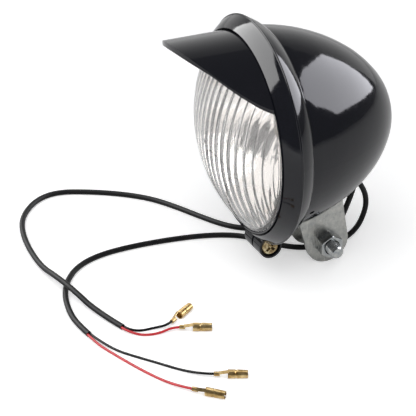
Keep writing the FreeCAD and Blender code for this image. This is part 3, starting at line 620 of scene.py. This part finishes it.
# %% Head, shank and core
BOLT_R = 4.0
BOLT_ROOT_R = 3.36
BOLT_HEAD_END = -17.3
BOLT_HEAD_FOOT = -12.0
BOLT_TIP = 25.7
TIP_ROUNDING = 0.4
ACROSS_FLATS = 13.0
CROWN_ROUNDING = 0.9
OVERLAP = 1.0
PITCH = 1.25
THREAD_START = 8.0
hexagon_r = ACROSS_FLATS / 2 / math.cos(math.radians(30))
crown = rod_along_x("head_crown", hexagon_r, BOLT_HEAD_END, BOLT_HEAD_FOOT + OVERLAP)
round_rim(crown, BOLT_HEAD_END, CROWN_ROUNDING)
bolt = rod_along_x("threaded_bolt", hexagon_r, BOLT_HEAD_END, BOLT_HEAD_FOOT, corners=6)
combine(bolt, crown, "INTERSECT")
break_edges(bolt)
shank = rod_along_x("bolt_shank", BOLT_R, BOLT_HEAD_FOOT, THREAD_START + PITCH)
core = rod_along_x("bolt_core", BOLT_ROOT_R, THREAD_START, BOLT_TIP)
round_rim(core, BOLT_TIP, TIP_ROUNDING)

# %% [markdown]
# ## The thread
# The end of the bolt stands out of its nut in plain view, and there the thread shows. A bump
# would leave its outline smooth. A thread is one tooth carried round and along at the same time,
# which is what the Screw modifier does. So the tooth is drawn once, as a ring of five points with
# its inner edge taken out, and swept up the bolt.

# %% One tooth
TOOTH = [(0, 0), (0.07, 0), (0.48, 1), (0.62, 1), (1, 0)]
TOOTH_FOOT = BOLT_ROOT_R - 0.02
bpy.ops.object.select_all(action="DESELECT")
bpy.ops.mesh.primitive_circle_add(vertices=len(TOOTH), radius=0.1)
thread = bpy.context.object
thread.name = "bolt_thread"
for point, (along, out) in zip(thread.data.vertices, TOOTH):
    reach = TOOTH_FOOT + out * (BOLT_R - TOOTH_FOOT)
    point.co = Vector((THREAD_START + along * PITCH, 0, reach)) * MM
bpy.ops.object.mode_set(mode="EDIT")
bpy.ops.mesh.select_all(action="DESELECT")
bpy.ops.object.mode_set(mode="OBJECT")
for edge in thread.data.edges:
    edge.select = set(edge.vertices) == {0, len(TOOTH) - 1}
bpy.ops.object.mode_set(mode="EDIT")
bpy.ops.mesh.select_mode(type="EDGE")
bpy.ops.mesh.delete(type="EDGE_FACE")
bpy.ops.object.mode_set(mode="OBJECT")
print("edges of the tooth:", len(thread.data.edges))

# %% The tooth swept up the bolt
TURNS = 14
STEPS_PER_TURN = 40
sweep = thread.modifiers.new("sweep", "SCREW")
sweep.axis = "X"
sweep.screw_offset = PITCH * MM
sweep.iterations = TURNS
sweep.steps = STEPS_PER_TURN
sweep.render_steps = STEPS_PER_TURN
sweep.use_merge_vertices = False
bpy.ops.object.modifier_apply(modifier="sweep")
print("thread faces:", len(thread.data.polygons))

# %% [markdown]
# A bolt's thread runs out in a chamfer at the tip, or a nut would not start on it. Here every
# point near the tip is drawn in towards the axis, by as much as it lies past the chamfer's start.

# %% The chamfer at the tip
CHAMFER_START = BOLT_TIP - 1.0
CHAMFER_FOOT_R = BOLT_ROOT_R - 0.3
THREAD_END = BOLT_TIP - 0.05
for point in thread.data.vertices:
    reach = math.hypot(point.co.y, point.co.z)
    past = max(0, point.co.x - CHAMFER_START * MM)
    limit = max(BOLT_R * MM - past, CHAMFER_FOOT_R * MM)
    shrink = min(1, limit / reach)
    point.co.y *= shrink
    point.co.z *= shrink
    point.co.x = min(point.co.x, THREAD_END * MM)
weld(thread)

# %% [markdown]
# ## The finished bolt
# Head, shank, core and thread could stay four shells in one mesh, but then their walls would run
# on inside each other. Boolean unions make one closed skin of them. It takes the place of the
# CAD model's plain bolt, which has the same length and head.

# %% Bolt
SMOOTH_ANGLE = math.radians(28)


def finish_fastener(piece, node_name):
    """Weld, smooth and plate a bolt or nut, and put it in place of its CAD node."""
    weld(piece)
    bpy.ops.object.shade_smooth_by_angle(angle=SMOOTH_ANGLE)
    piece.data.materials.clear()
    piece.data.materials.append(bright_zinc)
    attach(piece, "root")
    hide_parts(node_name)
    corners = (piece.bound_box[0], piece.bound_box[6])
    print(piece.name, "box:", [round(v / MM, 2) for corner in corners for v in corner])


for part in (shank, core, thread):
    combine(bolt, part, "UNION")
finish_fastener(bolt, "mount_bolt")

# %% [markdown]
# ## The nut on it
# The nut is a hexagon with rounded-off corners on both sides, and its thread starts in a
# countersink, which shows as a dark ring round the bolt. It is cut as the head was, with a bore
# and a cone more.

# %% Nut
NUT_FOOT = 12.0
NUT_TOP = 18.5
BORE_R = BOLT_R + 0.03
SINK_FOOT = NUT_TOP - 1.2
SINK_FOOT_R = BOLT_R - 0.4
SINK_TOP = NUT_TOP + 0.2
SINK_TOP_R = BOLT_R + 1.0
crown = rod_along_x("nut_crown", hexagon_r, NUT_FOOT, NUT_TOP)
round_rim(crown, NUT_FOOT, CROWN_ROUNDING)
round_rim(crown, NUT_TOP, CROWN_ROUNDING)
nut = rod_along_x("countersunk_nut", hexagon_r, NUT_FOOT, NUT_TOP, corners=6)
combine(nut, crown, "INTERSECT")
bore = rod_along_x("nut_bore", BORE_R, NUT_FOOT - OVERLAP, NUT_TOP + OVERLAP)
combine(nut, bore, "DIFFERENCE")
sink = rod_along_x("nut_sink", SINK_FOOT_R, SINK_FOOT, SINK_TOP, end_radius=SINK_TOP_R)
combine(nut, sink, "DIFFERENCE")
break_edges(nut)
finish_fastener(nut, "mount_nut")

# %% [markdown]
# ## The floor
# The lamp stands on white paper. Its ears touch the floor and the cables lie on it, so the floor
# is at the lowest point of the solids. More light would make the paper white, but bleach the
# lamp as well. Instead the paper glows a little, only where the camera, glass or a mirror looks
# at it, so that it comes out white and still takes the soft shadow. Gloss sees a quarter of that
# glow, because the black paint would otherwise look grey near the floor.

# %% Floor sheet
FLOOR_SIZE = 40
FLOOR_GAP = 0.02
bpy.ops.object.select_all(action="DESELECT")
bpy.ops.mesh.primitive_plane_add(size=FLOOR_SIZE, location=(0, 0, cad_low.z - FLOOR_GAP * MM))
floor = bpy.context.object
floor.name = "paper_floor"
print("floor at", round(floor.location.z / MM, 2), "mm")

# %% White paper
GLOW_NEAR = 0.43
GLOW_FAR = 0.95
GLOW_RISE = (0.35, 1.6)
GLOSSY_SHARE = 0.25
paper, tree, place = new_finish("white_paper")
path = add_node(tree, "ShaderNodeLightPath")
in_gloss = add_node(tree, "ShaderNodeMath", {
    0: path.outputs["Is Glossy Ray"], 1: GLOSSY_SHARE}, operation="MULTIPLY")
seen = add_node(tree, "ShaderNodeMath", {
    0: path.outputs["Is Camera Ray"], 1: in_gloss.outputs[0]}, operation="MAXIMUM")
seen = add_node(tree, "ShaderNodeMath", {
    0: seen.outputs[0], 1: path.outputs["Is Transmission Ray"]}, operation="MAXIMUM")
away = add_node(tree, "ShaderNodeVectorMath", {0: place}, operation="LENGTH")
level = add_node(tree, "ShaderNodeMapRange", {
    "Value": away.outputs["Value"], "From Min": GLOW_RISE[0], "From Max": GLOW_RISE[1],
    "To Min": GLOW_NEAR, "To Max": GLOW_FAR})
strength = add_node(tree, "ShaderNodeMath", {
    0: seen.outputs[0], 1: level.outputs["Result"]}, operation="MULTIPLY")
glow = add_node(tree, "ShaderNodeEmission", {
    "Color": linear("#ffffff"), "Strength": strength.outputs[0]})
matt = add_node(tree, "ShaderNodeBsdfDiffuse", {"Color": linear("#f4f4f4")})
both = add_node(tree, "ShaderNodeAddShader", {0: matt.outputs[0], 1: glow.outputs[0]})
add_node(tree, "ShaderNodeOutputMaterial", {"Surface": both.outputs[0]})
floor.data.materials.append(paper)
print("paper glows from", GLOW_NEAR, "near the lamp to", GLOW_FAR, "far away")

# %% [markdown]
# ## Studio light
# Gloss black shows its surroundings and little else, so the room is kept dim and its lights are
# chosen for what they do. A large soft lamp overhead lights everything matt and stays out of
# the reflections. A softbox in front on the left is seen only in reflections, as the pale patch
# on the ring.

# %% The dim room
world = bpy.data.worlds.new("dim_studio")
bpy.context.scene.world = world
world.use_nodes = True
tree = world.node_tree
tree.nodes.clear()
room = add_node(tree, "ShaderNodeBackground", {"Color": linear("#f6f7fa"), "Strength": 0.2})
add_node(tree, "ShaderNodeOutputWorld", {"Surface": room.outputs[0]})
print("room level:", room.inputs["Strength"].default_value)

# %% Softboxes
LAMP_MIDDLE = Vector((0, -15, 77)) * MM


def softbox(name, direction, distance, width, height, radiance):
    """A rectangular lamp that faces the middle of the object, in metres."""
    toward = Vector(direction).normalized()
    bpy.ops.object.select_all(action="DESELECT")
    bpy.ops.object.light_add(type="AREA", location=LAMP_MIDDLE + toward * distance)
    lamp = bpy.context.object
    lamp.name = name
    lamp.rotation_euler = toward.to_track_quat("Z", "Y").to_euler()
    lamp.data.shape = "RECTANGLE"
    lamp.data.size = width
    lamp.data.size_y = height
    lamp.data.energy = radiance * math.pi * width * height
    print(name, "gives", round(lamp.data.energy, 1), "watts")
    return lamp


fill = softbox("top_fill", direction=(0.45, -0.35, 0.85), distance=2.0,
               width=2.6, height=2.6, radiance=2.3)
fill.visible_glossy = False
front = softbox("front_softbox", direction=(-0.5, -0.64, 0.57), distance=1.2,
                width=1.6, height=1.1, radiance=7.2)
front.visible_diffuse = False
front.visible_transmission = False

# %% [markdown]
# The brass sockets lie right in front of the softbox, and it would bleach them white. A stand
# would hold a card between the two. Light linking does the same without one: the softbox leaves
# the brass out, and a softer lamp overhead reaches nothing but the brass.

# %% Which lamp reaches the brass
def choose_receivers(lamp, names, state):
    """Light linking: a lamp reaches only these nodes (INCLUDE) or all but these (EXCLUDE)."""
    group = bpy.data.collections.new(lamp.name + "_receivers")
    for name in names:
        group.objects.link(nodes[name])
    lamp.light_linking.receiver_collection = group
    for member in group.collection_objects:
        member.light_linking.link_state = state
    print(lamp.name, state, len(names), "pieces")


choose_receivers(front, BRASS_PIECES, "EXCLUDE")
overhead = softbox("brass_softbox", direction=(-0.6, 0.22, 0.77), distance=1.5,
                   width=2.0, height=2.0, radiance=1.8)
choose_receivers(overhead, BRASS_PIECES, "INCLUDE")

# %% [markdown]
# ## Window and sweep
# The dome mirrors a window with slanted corners, and the upper edges of dome and visor mirror a
# white paper sweep that gets darker towards its top. Lamps are always rectangles or discs of one
# brightness. A glowing sheet can have any corners and can fade, so both are sheets, and only
# reflections see them.

# %% Glowing sheets
ONLY_MIRRORS = ("camera", "diffuse", "transmission", "shadow")
ONLY_GLASS = ("camera", "diffuse", "glossy", "shadow")


def glowing_sheet(name, corners, unseen_by):
    """A flat sheet round the object, by its corners in metres, that some kinds of ray miss."""
    bpy.ops.object.select_all(action="DESELECT")
    bpy.ops.mesh.primitive_circle_add(vertices=len(corners), fill_type="NGON")
    sheet = bpy.context.object
    sheet.name = name
    for corner, place in zip(sheet.data.vertices, corners):
        corner.co = LAMP_MIDDLE + Vector(place)
    for ray in unseen_by:
        setattr(sheet, "visible_" + ray, False)
    finish, tree, place = new_finish(name + "_glow")
    sheet.data.materials.append(finish)
    print(name, "with", len(corners), "corners")
    return tree, place


tree, place = glowing_sheet("window_light", [
    (-0.62, 2.23, 0.14), (1.2, 1.92, 0.67), (1.3, 1.06, 1.73), (0.48, 1.1, 2.08),
    (-0.93, 1.63, 1.18)], ONLY_MIRRORS)
glow = add_node(tree, "ShaderNodeEmission", {"Color": linear("#f4f4fb"), "Strength": 7.4})
add_node(tree, "ShaderNodeOutputMaterial", {"Surface": glow.outputs[0]})

# %% Paper sweep
SWEEP_FOOT = -0.08
SWEEP_TOP = 2.2
tree, place = glowing_sheet("paper_sweep", [
    (-2.6, -1.0, SWEEP_FOOT), (-1.1, 2.6, SWEEP_FOOT), (-1.1, 2.6, SWEEP_TOP),
    (-2.6, -1.0, SWEEP_TOP)], ONLY_MIRRORS)
height = add_node(tree, "ShaderNodeSeparateXYZ", {"Vector": place}).outputs["Z"]
fade = add_node(tree, "ShaderNodeMapRange", {
    "Value": height, "From Min": 0.0, "From Max": SWEEP_TOP, "To Min": 0.95, "To Max": 0.35},
    interpolation_type="SMOOTHSTEP")
glow = add_node(tree, "ShaderNodeEmission", {
    "Color": linear("#ffffff"), "Strength": fade.outputs["Result"]})
add_node(tree, "ShaderNodeOutputMaterial", {"Surface": glow.outputs[0]})

# %% [markdown]
# ## What the glass sees
# The bright bowl behind the lens would show a dim room. A photographer puts such a lamp in a
# white tent, and here the tent is a large sphere that only rays through glass see, so the black
# paint stays black. One dark card in front gives the bowl something to draw with: the grey patch
# beside the bulb.

# %% Dark card
tree, place = glowing_sheet("dark_card", [
    (-0.1, -1.2, 0.2), (0.9, -1.2, 0.2), (0.9, -1.2, 0.95), (-0.1, -1.2, 0.95)], ONLY_GLASS)
glow = add_node(tree, "ShaderNodeEmission", {"Color": linear("#f4f6f8"), "Strength": 0.15})
add_node(tree, "ShaderNodeOutputMaterial", {"Surface": glow.outputs[0]})

# %% White tent
TENT_R = 4
bpy.ops.object.select_all(action="DESELECT")
bpy.ops.mesh.primitive_uv_sphere_add(radius=TENT_R, location=LAMP_MIDDLE)
tent = bpy.context.object
tent.name = "white_tent"
for ray in ONLY_GLASS:
    setattr(tent, "visible_" + ray, False)
cloth, tree, place = new_finish("tent_cloth")
glow = add_node(tree, "ShaderNodeEmission", {"Color": linear("#fffdfb"), "Strength": 1.27})
add_node(tree, "ShaderNodeOutputMaterial", {"Surface": glow.outputs[0]})
tent.data.materials.append(cloth)
print("tent of", TENT_R, "m round the lamp")

# %% [markdown]
# ## The view transform
# The Standard view shows a colour as it is written, where a film look would shift it.

# %% Colour view
bpy.context.scene.view_settings.view_transform = "Standard"
